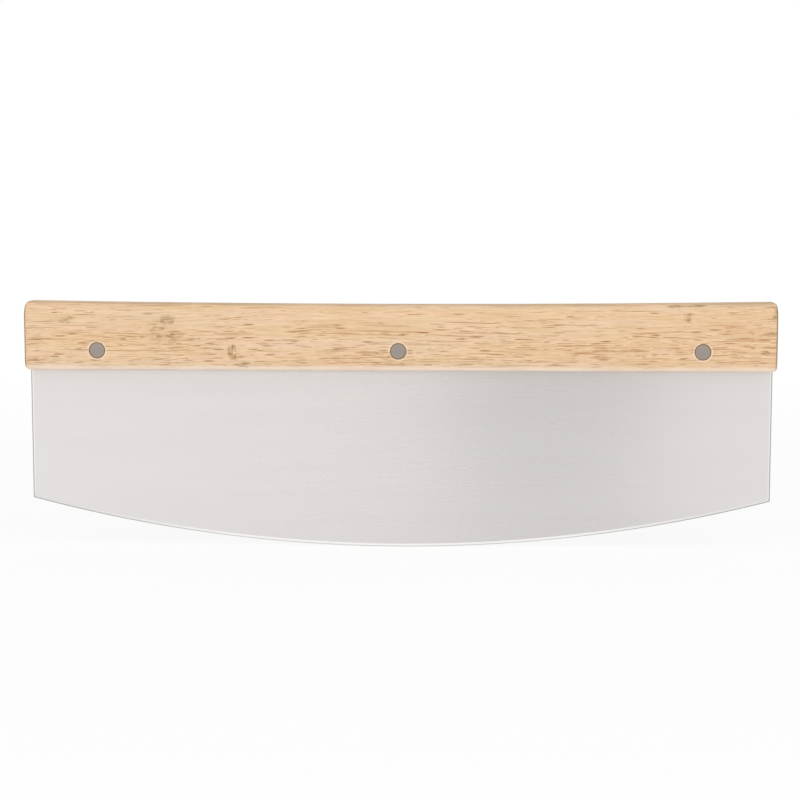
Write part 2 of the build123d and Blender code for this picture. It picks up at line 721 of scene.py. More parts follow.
WOOD_MARKS = (
    # A faint smudge near the left end
    WoodMark(-153.3, 109.1, 2.8, 0.9, OLIVE, 0.6, frayed=True),
    WoodMark(-156.0, 108.0, 3.0, 1.1, OLIVE, 0.65, frayed=True),
    WoodMark(-154.3, 107.0, 1.2, 1.3, OLIVE, 0.55, frayed=True),
    WoodMark(-155.0, 108.2, 6.5, 3.2, OLIVE, 0.18, frayed=True),
    # A darker smudge with spots round it
    WoodMark(-109.5, 103.5, 9.5, 8.5, OLIVE, 0.2, frayed=True),
    WoodMark(-107.6, 108.3, 4.4, 3.0, OLIVE, 0.55, frayed=True),
    WoodMark(-109.6, 107.7, 1.4, 1.0, BROWN, 0.7),
    WoodMark(-107.2, 108.4, 2.4, 0.8, BROWN, 0.5),
    WoodMark(-105.0, 107.6, 0.7, 1.7, OLIVE, 0.7),
    WoodMark(-109.9, 104.3, 3.0, 0.7, BROWN, 0.75),
    WoodMark(-111.7, 100.7, 1.9, 0.9, BROWN, 0.9),
    WoodMark(-106.6, 100.8, 2.2, 0.6, BROWN, 0.9),
    WoodMark(-105.3, 100.2, 1.3, 0.5, BROWN, 0.8),
    WoodMark(-104.8, 101.7, 1.5, 0.7, BROWN, 0.95),
    WoodMark(-101.2, 101.6, 2.7, 0.6, BROWN, 0.65),
    WoodMark(-104.7, 98.9, 2.4, 0.9, OLIVE, 0.75),
    WoodMark(-106.1, 97.9, 1.7, 0.9, OLIVE, 0.5),
    WoodMark(-102.3, 97.0, 1.8, 0.6, OLIVE, 0.8),
    WoodMark(-114.6, 103.5, 1.9, 0.9, OLIVE, 0.7),
    WoodMark(-113.5, 104.7, 1.5, 0.6, OLIVE, 0.6),
    WoodMark(-112.8, 99.0, 3.0, 2.4, OLIVE, 0.3, frayed=True),
    # A short scar across the grain, with a pale splinter in it
    WoodMark(-77.2, 93.0, 3.6, 4.2, OLIVE, 0.25, frayed=True),
    WoodMark(-78.8, 94.0, 0.7, 3.4, OLIVE, 0.6),
    WoodMark(-76.8, 95.8, 1.7, 0.9, BROWN, 0.85),
    WoodMark(-77.3, 94.7, 0.8, 2.4, BROWN, 0.9),
    WoodMark(-75.9, 94.0, 0.9, 0.9, BROWN, 0.95),
    WoodMark(-77.7, 92.3, 1.8, 1.4, BROWN, 0.9),
    WoodMark(-76.1, 91.3, 0.8, 2.0, BROWN, 0.95),
    WoodMark(-77.5, 90.4, 0.9, 0.7, BROWN, 0.8),
    WoodMark(-76.4, 93.0, 0.7, 1.4, CREAM, 1.0),
    # A small knot near the lower edge
    WoodMark(-71.1, 88.0, 2.6, 0.75, BROWN, 0.7),
    WoodMark(-74.0, 87.4, 4.4, 0.65, OLIVE, 0.75),
    WoodMark(-71.6, 86.6, 2.8, 0.65, OLIVE, 0.6, frayed=True),
    WoodMark(-72.6, 87.3, 5.0, 1.8, OLIVE, 0.3, frayed=True),
    # A long dark streak under the top edge, with two spots below it
    WoodMark(127.9, 114.9, 5.4, 0.85, OLIVE, 1.0),
    WoodMark(138.4, 115.2, 5.2, 0.75, OLIVE, 1.0),
    WoodMark(133.0, 115.05, 6.0, 0.5, OLIVE, 0.8),
    WoodMark(134.0, 111.4, 1.3, 0.9, OLIVE, 0.6, frayed=True),
    WoodMark(134.0, 109.0, 1.3, 1.7, OLIVE, 0.7),
    WoodMark(134.0, 108.8, 0.6, 0.9, BROWN, 0.6),
    WoodMark(134.0, 110.0, 2.2, 3.2, OLIVE, 0.3, frayed=True),
    # Reddish dashes left of the right end
    WoodMark(152.5, 105.5, 2.6, 1.1, RUSSET, 0.85),
    WoodMark(156.7, 105.4, 4.4, 0.6, RUSSET, 0.75),
    WoodMark(151.7, 103.6, 1.6, 0.8, RUSSET, 0.65),
    WoodMark(148.5, 102.9, 1.6, 1.0, RUSSET, 0.5, frayed=True),
    WoodMark(160.7, 96.9, 2.4, 0.95, RUSSET, 0.85),
    WoodMark(163.1, 96.1, 1.6, 0.65, BROWN, 0.9),
    WoodMark(157.5, 103.0, 9.0, 5.0, RUSSET, 0.16, frayed=True),
    # Dark fibres that run out at the right end
    WoodMark(165.6, 106.6, 3.0, 0.9, OLIVE, 0.5, frayed=True),
    WoodMark(166.3, 105.2, 3.4, 0.6, RUSSET, 0.5, frayed=True),
    WoodMark(171.8, 102.6, 4.4, 0.55, BROWN, 0.95),
    WoodMark(170.5, 101.7, 6.0, 0.45, BROWN, 0.55),
    WoodMark(171.5, 96.2, 5.0, 0.55, BROWN, 0.85),
    WoodMark(170.6, 93.5, 6.2, 0.5, BROWN, 0.6),
    WoodMark(169.2, 93.7, 2.2, 1.3, BROWN, 0.8),
    WoodMark(173.6, 111.3, 1.7, 3.2, OLIVE, 0.9, frayed=True),
)


@dataclass(frozen=True)
class Rubberwood:
    """Sanded and lightly oiled rubberwood: pale, warm, with short brown pores along the grain.

    Attributes:
        handle: The bar, for the places of its ends, its edges and its rivets.
        pale_fibre_strength: How strongly the pale fibres show.
        dark_strength: How strongly flecks, pores and the painted shadow at the rivets' rims show.
        slow_wave: How far the grain wanders in long waves.
        quick_wave: How far it wanders in short ones.
        fleck_layers: Shift, length, width and rarity of each kind of fleck.
        pore_fray: How far noise shifts the outline of a pore.
        sanding_fray: How far it shifts the border of the sanded lower edge.
        pith_depth: How far the tree's middle lay below the bar.
        mark_fray: How far noise shifts the outline of a frayed mark, along X and Z.
        smooth_share: The share of that shift that a smooth mark has.
        mark_depth: Half a mark's thickness through the bar.
        marks: The stains, scars and dark fibres.
    """

    handle: "Handle"
    pale: Colour = srgb(231, 201, 167)
    tan: Colour = srgb(228, 192, 150)
    pink: Colour = srgb(236, 198, 168)
    straw: Colour = srgb(226, 194, 147)
    pore: Colour = srgb(156, 107, 67)
    fleck: Colour = srgb(178, 127, 84)
    pale_fibre: Colour = srgb(246, 216, 179)
    fibre_shade: Colour = (0.92, 0.9, 0.87, 1.0)
    fibre_shine: Colour = (1.03, 1.04, 1.06, 1.0)
    end_grain: Colour = (0.72, 0.62, 0.5, 1.0)
    end_ring: Colour = (0.6, 0.48, 0.36, 1.0)
    # Painted shade at the border of each end.
    painted_end_shade: Colour = srgb(120, 96, 70)
    # Painted shade along the top.
    painted_top_shade: Colour = srgb(180, 152, 118)
    # Pale wood for the crushed ring round each recess and for the sanded lower edge, where it is also
    # painted light from below.
    pale_sanding_and_underlight: Colour = srgb(255, 233, 210)
    rim_shadow: Colour = srgb(120, 92, 66)
    pale_fibre_strength: float = 0.55
    dark_strength: float = 0.8
    roughness: float = 0.62
    pore_roughness: float = 0.85
    slow_wave: float = 4.5 * MM
    quick_wave: float = 0.7 * MM
    fleck_layers: tuple[tuple[float, float, float, float], ...] = (
        (0.5, 9.0 * MM, 0.5 * MM, 0.0),
        (0.7, 20.0 * MM, 0.5 * MM, 0.01),
        (0.9, 45.0 * MM, 0.52 * MM, 0.02),
    )
    pore_fray: float = 0.45 * MM
    sanding_fray: float = 2.4 * MM
    pith_depth: float = 40.0 * MM
    mark_fray: tuple[float, float] = (5.0 * MM, 2.6 * MM)
    smooth_share: float = 0.3
    mark_depth: float = 14.0 * MM
    marks: tuple[WoodMark, ...] = WOOD_MARKS

    def make(self, effects: Effects) -> bpy.types.Material:
        """Makes the wood's material.

        Args:
            effects: The shared effects.

        Returns:
            The material.
        """
        bench = Bench("rubberwood", self.pale, effects)
        grain = self._wavy(bench)
        pores = self._pores(bench, grain)
        self._ground(bench, grain)
        flecks, beside = self._flecks(bench, grain)
        bench.coat(bench.times(beside, self.pale_fibre_strength), self.pale_fibre)
        bench.coat(bench.times(flecks, self.dark_strength), self.fleck)
        bench.coat(bench.times(pores, self.dark_strength), self.pore)
        self._sand_and_light_lower_edge(bench)
        self._shade_top(bench)
        self._tint_ends(bench)
        self._stain(bench)
        dip = self._rivet_rims(bench)
        fibres = bench.streaks(grain, 12 * MM, 0.35 * MM)
        relief = bench.minus(bench.times(fibres, 0.25), bench.plus(pores, dip))
        roughness = bench.fade(pores, 0.0, 1.0, self.roughness, self.pore_roughness)
        return bench.dress(relief, 0.35, 0.12 * MM, Roughness=roughness, Specular_IOR_Level=0.35)

    def _wavy(self, bench: Bench) -> Socket:
        """Bends the position up and down along the handle, as grain wanders by a few degrees.

        Args:
            bench: The wood's bench.

        Returns:
            The position along the grain.
        """
        slow = bench.noise(bench.place, 9.0, 1.0, squeeze=(1.0, 3.0, 3.0))
        quick = bench.noise(bench.place, 36.0, 1.0, squeeze=(1.0, 4.0, 4.0))
        rise = bench.plus(bench.times(slow, self.slow_wave), bench.times(quick, self.quick_wave))
        return bench.vector("ADD", bench.place, bench.join(0.0, bench.times(rise, 0.4), rise))

    def _ground(self, bench: Bench, grain: Socket) -> None:
        """Lays the wood's tones: broad patches, paler to the top and left, and fine fibres.

        Args:
            bench: The wood's bench.
            grain: The position along the grain.
        """
        x, _, z = bench.xyz
        bottom = self.handle.bottom
        lower = bench.fade(z, bottom + 30 * MM, bottom + 17 * MM, -0.04, 0.03)
        rightwards = bench.fade(x, -60 * MM, 150 * MM, 0.0, 0.14)
        broad = bench.streaks(grain, 60 * MM, 6 * MM, 3.0)
        broad = bench.plus(broad, bench.plus(lower, rightwards))
        patch = bench.streaks(bench.shifted(grain, 0.3, 0.2, 0.1), 26 * MM, 3.6 * MM)
        fine = bench.streaks(grain, 14 * MM, 0.5 * MM)
        bench.coat(bench.fade(broad, 0.34, 0.66), self.tan)
        bench.coat(bench.fade(patch, 0.5, 0.7, 0.0, 0.6), self.pink)
        bench.coat(bench.fade(patch, 0.46, 0.26, 0.0, 0.6), self.straw)
        tint = bench.blend(bench.vary(fine), self.fibre_shade, self.fibre_shine)
        bench.coat(1.0, tint, "MULTIPLY")

    def _crowd(self, bench: Bench, top: float, low: float) -> Socket:
        """Goes from one value near the bar's top to another in its lower part."""
        bottom = self.handle.bottom
        return bench.fade(bench.xyz[2], bottom + 26 * MM, bottom + 14 * MM, top, low)

    def _flecks(self, bench: Bench, grain: Socket) -> tuple[Socket, Socket]:
        """Finds the thin brown flecks: the lowest values of three noises drawn out along the grain.

        They come in clusters, where a slower noise raises the limit that they lie below. A value
        just above the limit is a pale fibre beside a fleck.

        Args:
            bench: The wood's bench.
            grain: The position along the grain.

        Returns:
            The masks of the flecks and of the pale fibres.
        """
        cluster = bench.noise(bench.place, 45.0, 1.0, squeeze=(1.0, 2.5, 2.5))
        clustered = bench.vary(cluster, -0.02, 0.02)
        limit = bench.plus(clustered, self._crowd(bench, 0.34, 0.378))
        layers = []
        for shift, length, width, rarity in self.fleck_layers:
            streak = bench.streaks(bench.shifted(grain, shift, shift, shift), length, width, 1.0)
            layers.append(bench.plus(streak, rarity))
        above = bench.minus(bench.chain("MINIMUM", *layers), limit)
        beside = bench.times(bench.fade(above, 0.0, 0.025), bench.fade(above, 0.075, 0.045))
        return bench.fade(above, 0.0, -0.08), beside

    def _pores(self, bench: Bench, grain: Socket) -> Socket:
        """Lays three kinds of pore over each other, from short and broad to long and thin.

        They crowd together in the lower part of the bar and thin out towards its top.

        Args:
            bench: The wood's bench.
            grain: The position along the grain.

        Returns:
            The mask of the pores.
        """
        crowd = self._crowd(bench, 0.2, 0.75)
        fray = bench.noise(grain, 260.0, squeeze=(1.0, 2.0, 2.0))
        lift = bench.times(bench.minus(fray, 0.5), self.pore_fray)
        frayed = bench.vector("ADD", grain, bench.join(0.0, lift, lift))
        other = bench.shifted(frayed, 0.11, 0.07, 0.05)
        third = bench.shifted(frayed, 0.23, 0.13, 0.09)
        short = bench.dashes(frayed, 9 * MM, 0.9 * MM, 0.4, crowd)
        middle = bench.dashes(other, 20 * MM, 0.95 * MM, 0.36, bench.times(crowd, 0.7))
        long = bench.dashes(third, 55 * MM, 0.9 * MM, 0.36, 0.3)
        return bench.chain("MAXIMUM", short, middle, bench.times(long, 0.6))

    def _sand_and_light_lower_edge(self, bench: Bench) -> None:
        """Lightens the lower edge, most on the rounding itself and less in a band above it, as
        sanding and as painted light from below.

        Args:
            bench: The wood's bench.
        """
        z = bench.xyz[2]
        bottom = self.handle.bottom
        wander = bench.noise(bench.place, 60.0, squeeze=(1.0, 0.5, 2.0))
        rise = bench.plus(bench.minus(z, bottom), bench.times(wander, self.sanding_fray))
        # Sanding and painted light from below, on the lower rounding and the band above it.
        bench.coat(bench.fade(rise, 5.0 * MM, 2.4 * MM, 0.0, 0.5), self.pale_sanding_and_underlight)
        low = bench.fade(z, bottom + 2.8 * MM, bottom + 1.2 * MM)
        patchy = bench.noise(bench.place, 55.0, squeeze=(1.0, 0.5, 0.5))
        uneven = bench.fade(patchy, 0.35, 0.62, 0.55, 0.95)
        bench.coat(bench.times(low, uneven), self.pale_sanding_and_underlight)

    def _shade_top(self, bench: Bench) -> None:
        """Darkens the top in patches: painted shade where the top rounding turns away from the light.

        The top is the arc's height at x: bottom + height - hollow * (1 - (x / half length)²).

        Args:
            bench: The wood's bench.
        """
        x, _, z = bench.xyz
        handle = self.handle
        along = bench.math("DIVIDE", x, handle.half_length)
        climb = bench.times(along, along, handle.top_hollow)
        above = bench.minus(z, climb, handle.bottom + handle.height - handle.top_hollow)
        patchy = bench.noise(bench.place, 34.0, 3.0, squeeze=(1.0, 2.5, 2.5))
        height = bench.plus(above, bench.vary(patchy, -0.3 * MM, 0.15 * MM))
        amount = bench.vary(patchy, 0.35, 0.75)
        # Painted shade along the top, in patches.
        bench.coat(bench.times(bench.fade(height, -0.9 * MM, 0.0), amount), self.painted_top_shade)

    def _tint_ends(self, bench: Bench) -> None:
        """Darkens the end grain, with growth rings round the pith, and paints shade along its border.

        A ring's radius is the distance from the pith, which lies below the bar.

        Args:
            bench: The wood's bench.
        """
        x, y, z = bench.xyz
        past = bench.minus(bench.size(x), self.handle.half_length)
        from_pith = bench.join(0.0, y, bench.minus(z, self.handle.bottom - self.pith_depth))
        rings = bench.noise(bench.join(bench.length(from_pith), 0.0, 0.0), 700.0, 1.0)
        tint = bench.blend(bench.fade(rings, 0.35, 0.62), self.end_ring, self.end_grain)
        bench.coat(bench.fade(past, -1.2 * MM, -0.3 * MM), tint, "MULTIPLY")
        # Painted shade in a thin band round the border of each end.
        inner = bench.fade(past, -0.7 * MM, -0.35 * MM)
        outer = bench.fade(past, -0.04 * MM, -0.14 * MM)
        uneven = bench.fade(bench.noise(bench.place, 120.0), 0.3, 0.6, 0.55, 1.0)
        bench.coat(bench.times(inner, outer, uneven), self.painted_end_shade)

    def _stain(self, bench: Bench) -> None:
        """Stains the wood at each mark on the front, with streaks through the stains.

        Noise shifts the position, fully for a frayed mark and by a share for a smooth one.

        Args:
            bench: The wood's bench.
        """
        ragged = bench.fade(bench.streaks(bench.place, 2.6 * MM, 0.55 * MM), 0.38, 0.6, 0.35, 1.0)
        front = bench.times(bench.fade(bench.xyz[1], -4.0 * MM, -7.5 * MM), ragged)
        sideways = bench.minus(bench.noise(bench.place, 330.0), 0.5)
        upwards = bench.minus(bench.noise(bench.shifted(bench.place, 0.2, 0.1, 0.3), 330.0), 0.5)
        along, up = self.mark_fray
        shift = bench.join(bench.times(sideways, along), 0.0, bench.times(upwards, up))
        frayed = bench.vector("ADD", bench.place, shift)
        less = bench.vector("MULTIPLY", shift, (self.smooth_share,) * 3)
        smooth = bench.vector("ADD", bench.place, less)
        for mark in self.marks:
            oval = bench.effects.mark.use(
                bench,
                Position=frayed if mark.frayed else smooth,
                Centre=(mark.x * MM, -self.handle.half_thickness, mark.z * MM),
                Half_Size=(mark.half_length * MM, self.mark_depth, mark.half_height * MM),
            )
            bench.coat(bench.times(oval, front, mark.strength), mark.colour)

    def _rivet_rims(self, bench: Bench) -> Socket:
        """Paints shadow on the wood at each recess's rim, with a pale crushed ring outside it.

        Args:
            bench: The wood's bench.

        Returns:
            The mask of the dark rim.
        """
        away = bench.from_rivet(self.handle.rivets)
        radius = self.handle.recess_radius
        rim = bench.fade(away, radius + 0.35 * MM, radius + 0.1 * MM)
        patchy = bench.fade(bench.noise(bench.place, 420.0, 1.0), 0.35, 0.6, 0.15, 0.5)
        around = bench.fade(away, radius + 1.3 * MM, radius + 0.5 * MM)
        bench.coat(bench.times(around, patchy), self.pale_sanding_and_underlight)
        bench.coat(bench.times(rim, self.dark_strength), self.rim_shadow)
        return rim


@dataclass(frozen=True)
class BrushedSteel:
    """Stainless sheet brushed along its length, with ground bevels, bright partly by painted
    reflection, and dull cut sides.

    The brushing shows most near the middle; painted shade darkens the bevels towards the corners and
    the sheet under the handle.

    Attributes:
        blade: The blade, for its arc and the place of its sides.
        brushing_middle: The place along the blade where the brushing shows most.
    """

    blade: "Blade"
    face: Colour = srgb(208, 204, 202)
    # The bevels' colours at the corners, darker as painted shade.
    shaded_corner_bevel: Colour = srgb(226, 224, 222)
    shaded_corner_edge: Colour = srgb(178, 176, 174)
    # The long bevel's colour: a brighter ground finish, and partly a painted reflection.
    bevel: Colour = srgb(246, 245, 243)
    edge: Colour = srgb(216, 214, 211)
    cut: Colour = srgb(182, 181, 179)
    roughness: float = 0.28
    cut_roughness: float = 0.5
    brushing_middle: float = 25.0 * MM

    def make(self, effects: Effects) -> bpy.types.Material:
        """Makes the blade's material.

        Args:
            effects: The shared effects.

        Returns:
            The material.
        """
        bench = Bench("brushed_steel", self.face, effects)
        x, _, z = bench.xyz
        fine = bench.streaks(bench.place, 45 * MM, 1.1 * MM, 0.5)
        broad = bench.streaks(bench.place, 90 * MM, 9 * MM)
        bright = bench.dashes(bench.place, 11 * MM, 1.5 * MM, 0.26, 0.4)
        elsewhere = bench.shifted(bench.place, 0.13, 0.11, 0.17)
        dark = bench.dashes(elsewhere, 10 * MM, 1.5 * MM, 0.26, 0.4)
        dashes = bench.minus(bright, bench.times(dark, 0.7))
        off_middle = bench.size(bench.minus(x, self.brushing_middle))
        middle = bench.fade(off_middle, 160 * MM, 30 * MM, 0.15, 1.0)
        lines = bench.plus(bench.vary(fine, -0.005, 0.005), bench.times(dashes, 0.07))
        shade = bench.plus(bench.times(lines, middle), bench.vary(broad, 0.99, 1.008))
        # Painted shade: the sheet darkens towards the handle and lightens towards the edge.
        bench.dim(bench.times(shade, bench.fade(z, 20 * MM, 84 * MM, 1.025, 0.97)))
        ground, edge, cut, glint = self._bands(bench)
        # Painted shade: the bevels darken from the middle towards the corners.
        corner = bench.fade(bench.size(x), 60 * MM, 165 * MM)
        bench.coat(glint, self.bevel)
        bench.coat(ground, bench.blend(corner, self.bevel, self.shaded_corner_bevel))
        bench.coat(edge, bench.blend(corner, self.edge, self.shaded_corner_edge))
        bench.coat(cut, self.cut)
        dull = bench.chain("MAXIMUM", cut, bench.times(edge, 0.5))
        uneven = bench.times(bench.vary(fine, -0.01, 0.01), middle)
        brushed = bench.plus(uneven, self.roughness)
        return bench.dress(
            fine,
            0.012,
            0.02 * MM,
            Roughness=bench.fade(dull, 0.0, 1.0, brushed, self.cut_roughness),
            Metallic=0.85,
            Anisotropic=0.95,
            Anisotropic_Rotation=0.25,
        )

    def _bands(self, bench: Bench) -> tuple[Socket, Socket, Socket, Socket]:
        """Finds the long bevel, the short one at the very edge, the cut sides and their glint.

        The way in from the edge is the arc's radius less the distance from the arc's centre.

        Args:
            bench: The steel's bench.

        Returns:
            The masks of the long bevel, the short bevel, the cut sides and the glint inside them.
        """
        x, _, z = bench.xyz
        blade = self.blade
        from_centre = bench.join(x, 0.0, bench.minus(z, blade.arc_radius))
        inwards = bench.minus(blade.arc_radius, bench.length(from_centre))
        ground = bench.fade(inwards, blade.bevel_height + 0.05 * MM, blade.bevel_height - 0.05 * MM)
        edge = bench.fade(inwards, blade.edge_height + 0.06 * MM, blade.edge_height - 0.06 * MM)
        from_side = bench.minus(blade.half_length, bench.size(x))
        cut = bench.fade(from_side, 0.65 * MM, 0.4 * MM)
        inner = bench.fade(from_side, 1.15 * MM, 0.8 * MM)
        glint = bench.times(bench.fade(from_side, 0.55 * MM, 0.75 * MM), inner)
        return ground, edge, cut, bench.times(glint, 0.5)


@dataclass(frozen=True)
class SatinRivet:
    """Grey rivet metal, turned smooth and dulled by wear, warmer towards the rim of each head.

    Attributes:
        rivets: The three rivets, from left to right.
        head_radius: The radius of a head.
    """

    rivets: tuple[RivetPlace, ...]
    head_radius: float
    face: Colour = srgb(149, 141, 139)
    rim: Colour = srgb(160, 142, 118)
    roughness: float = 0.42
    dulled: float = 0.1

    def make(self, effects: Effects) -> bpy.types.Material:
        """Makes the rivets' material.

        Args:
            effects: The shared effects.

        Returns:
            The material.
        """
        bench = Bench("satin_rivet", self.face, effects)
        away = bench.from_rivet(self.rivets)
        cloud = bench.noise(bench.place, 260.0, 3.0, 0.6)
        lines = bench.streaks(bench.place, 5 * MM, 0.15 * MM, 3.0)
        bench.coat(bench.fade(away, 0.8 * MM, self.head_radius - 0.5 * MM, 0.0, 0.5), self.rim)
        cloudy = bench.vary(cloud, 0.94, 1.04)
        bench.dim(bench.plus(cloudy, bench.vary(lines, -0.03, 0.03)))
        rough = bench.vary(cloud, self.roughness, self.roughness + self.dulled)
        return bench.dress(lines, 0.1, 0.02 * MM, Roughness=rough, Metallic=1.0)


@dataclass(frozen=True)
class Handle:
    """The wooden bar: a rounded section along a slightly hollow top, a saw kerf and rivet holes.

    Attributes:
        half_length: Half the bar's length.
        half_thickness: Half its thickness.
        bottom: Height of its underside.
        rivets: The rivets, from left to right.
    """

    half_length: float
    half_thickness: float
    bottom: float
    rivets: tuple[RivetPlace, ...]
    height: float = 32.0 * MM
    top_hollow: float = 1.4 * MM
    top_radius: float = 7.0 * MM
    bottom_radius: float = 4.5 * MM
    end_radius: float = 1.6 * MM
    kerf_half_width: float = 0.85 * MM
    kerf_depth: float = 19.4 * MM
    kerf_easing: float = 0.25 * MM
    recess_radius: float = 3.65 * MM
    recess_depth: float = 1.7 * MM
    recess_chamfer: float = 0.1 * MM
    rim_width: float = 0.4 * MM
    hole_radius: float = 2.5 * MM
    bottom_round_steps: int = 20
    top_round_steps: int = 24
    end_steps: int = 10
    underside_steps: int = 4
    side_steps: int = 5
    crown_steps: int = 4
    spacing: float = 4.0 * MM
    patch: HolePatch = HolePatch()

    def places(self) -> np.ndarray:
        """Spreads places along the bar, closer together where an end rounds off.

        Returns:
            The places, from left to right.
        """
        turn = np.linspace(0.0, math.pi / 2, self.end_steps + 1)
        flat = self.half_length - self.end_radius
        end = flat + self.end_radius * np.sin(turn)
        middle = stations(-flat, flat, self.patch, self.rivets, self.spacing)
        return np.concatenate((-end[:0:-1], middle, end[1:]))

    def inset(self, x: np.ndarray) -> np.ndarray:
        """Gives how far the section shrinks at x: r - sqrt(r² - t²), t past the rounding's start."""
        past = np.clip(np.abs(x) - (self.half_length - self.end_radius), 0.0, self.end_radius)
        return self.end_radius - np.sqrt(self.end_radius**2 - past**2)

    def top(self, x: np.ndarray) -> np.ndarray:
        """Gives the top's height at x: highest at the ends, lower by the hollow in the middle."""
        return self.bottom + self.height - self.top_hollow * (1 - (x / self.half_length) ** 2)

    def outside(self, x: np.ndarray) -> Grid:
        """Works out the front half of the section, from the kerf's mouth round to the top.

        Each rounding is a quarter circle, (centre - r cos a, centre + r sin a), whose centre
        stays put while the inset takes its share off the radius.

        Args:
            x: Places along the bar.

        Returns:
            The surface, with the squares round the rivets left out.
        """
        inset = self.inset(x)[:, None]
        top = self.top(x)[:, None] + 0 * inset
        bottom = self.bottom + inset
        low_turn = np.linspace(-math.pi / 2, 0.0, self.bottom_round_steps + 1)
        high_turn = np.linspace(0.0, math.pi / 2, self.top_round_steps + 1)
        low_centre = self.bottom + self.bottom_radius
        mouth = self.kerf_half_width + self.kerf_easing
        rounding = self.half_thickness - self.bottom_radius
        under = np.linspace(mouth, rounding, self.underside_steps + 1)[:-1]
        square = self.patch.lines(self.rivets[0].z)
        share = np.linspace(0.0, 1.0, self.side_steps + 1)[1:-1]
        above = square[-1] + (top - self.top_radius - square[-1]) * share
        crown = np.linspace(self.half_thickness - self.top_radius, 0.0, self.crown_steps + 1)[1:]
        low_radius, high_radius = self.bottom_radius - inset, self.top_radius - inset
        y = (
            -self.kerf_half_width + 0 * inset,
            -under + 0 * inset,
            self.bottom_radius - self.half_thickness - low_radius * np.cos(low_turn),
            inset - self.half_thickness + 0 * square,
            inset - self.half_thickness + 0 * above,
            self.top_radius - self.half_thickness - high_radius * np.cos(high_turn),
            -crown + 0 * inset,
        )
        z = (
            bottom + self.kerf_easing,
            bottom + 0 * under,
            low_centre + low_radius * np.sin(low_turn),
            square + 0 * inset,
            above,
            top - self.top_radius + high_radius * np.sin(high_turn),
            top - inset + 0 * crown,
        )
        y, z = np.concatenate(y, axis=1), np.concatenate(z, axis=1)
        points = np.stack((x[:, None] + 0 * y, y, z), axis=-1)
        first = 1 + len(under) + len(low_turn)
        lines = np.arange(first, first + len(square))
        return self.patch.leave_out(points, lines, self.rivets)

    def kerf(self, x: np.ndarray) -> Grid:
        """Makes the kerf's front wall and the front half of its roof.

        Args:
            x: Places along the bar.

        Returns:
            The surface, with the squares round the rivets left out.
        """
        square = self.patch.lines(self.rivets[0].z)
        mouth = self.bottom + self.inset(x)[:, None] + self.kerf_easing
        roof = self.bottom + self.kerf_depth + 0 * mouth
        walls = np.concatenate((mouth, square + 0 * mouth, roof, roof), axis=1)
        y = np.full(walls.shape[1], -self.kerf_half_width)
        y[-1] = 0.0
        points = np.stack((x[:, None] + 0 * walls, y + 0 * walls, walls), axis=-1)
        return self.patch.leave_out(points, np.arange(1, 1 + len(square)), self.rivets)

    def rivet_hole(self, place: RivetPlace) -> Grid:
        """Makes the front half of one rivet's hole, from the bar's front face to the kerf.

        Args:
            place: The rivet.

        Returns:
            The surface of the recess and the hole, out to the edges of both squares.
        """
        face = -self.half_thickness
        floor = face + self.recess_depth
        wall = -self.kerf_half_width
        wide = self.recess_radius + self.recess_chamfer
        steps = (
            (None, face),
            (wide + self.rim_width, face),
            (wide, face),
            (self.recess_radius, face + self.recess_chamfer),
            (self.recess_radius, floor),
            (self.hole_radius, floor),
            (self.hole_radius, wall),
            (wide, wall),
            (None, wall),
        )
        return self.patch.rings(place, steps)

    def build(self) -> bpy.types.Object:
        """Builds the bar: the front half and its mirror image, welded, with flat ends.

        Returns:
            The bar.
        """
        x = self.places()
        skin, kerf = self.outside(x), self.kerf(x)
        front = [skin, kerf, *(self.rivet_hole(place) for place in self.rivets)]
        ends = [np.concatenate((skin.points[end], kerf.points[end, ::-1])) for end in (0, -1)]
        grids = front + [grid.mirrored() for grid in front]
        return closed_object("wooden_handle", grids, ends + [end * MIRRORED for end in ends])


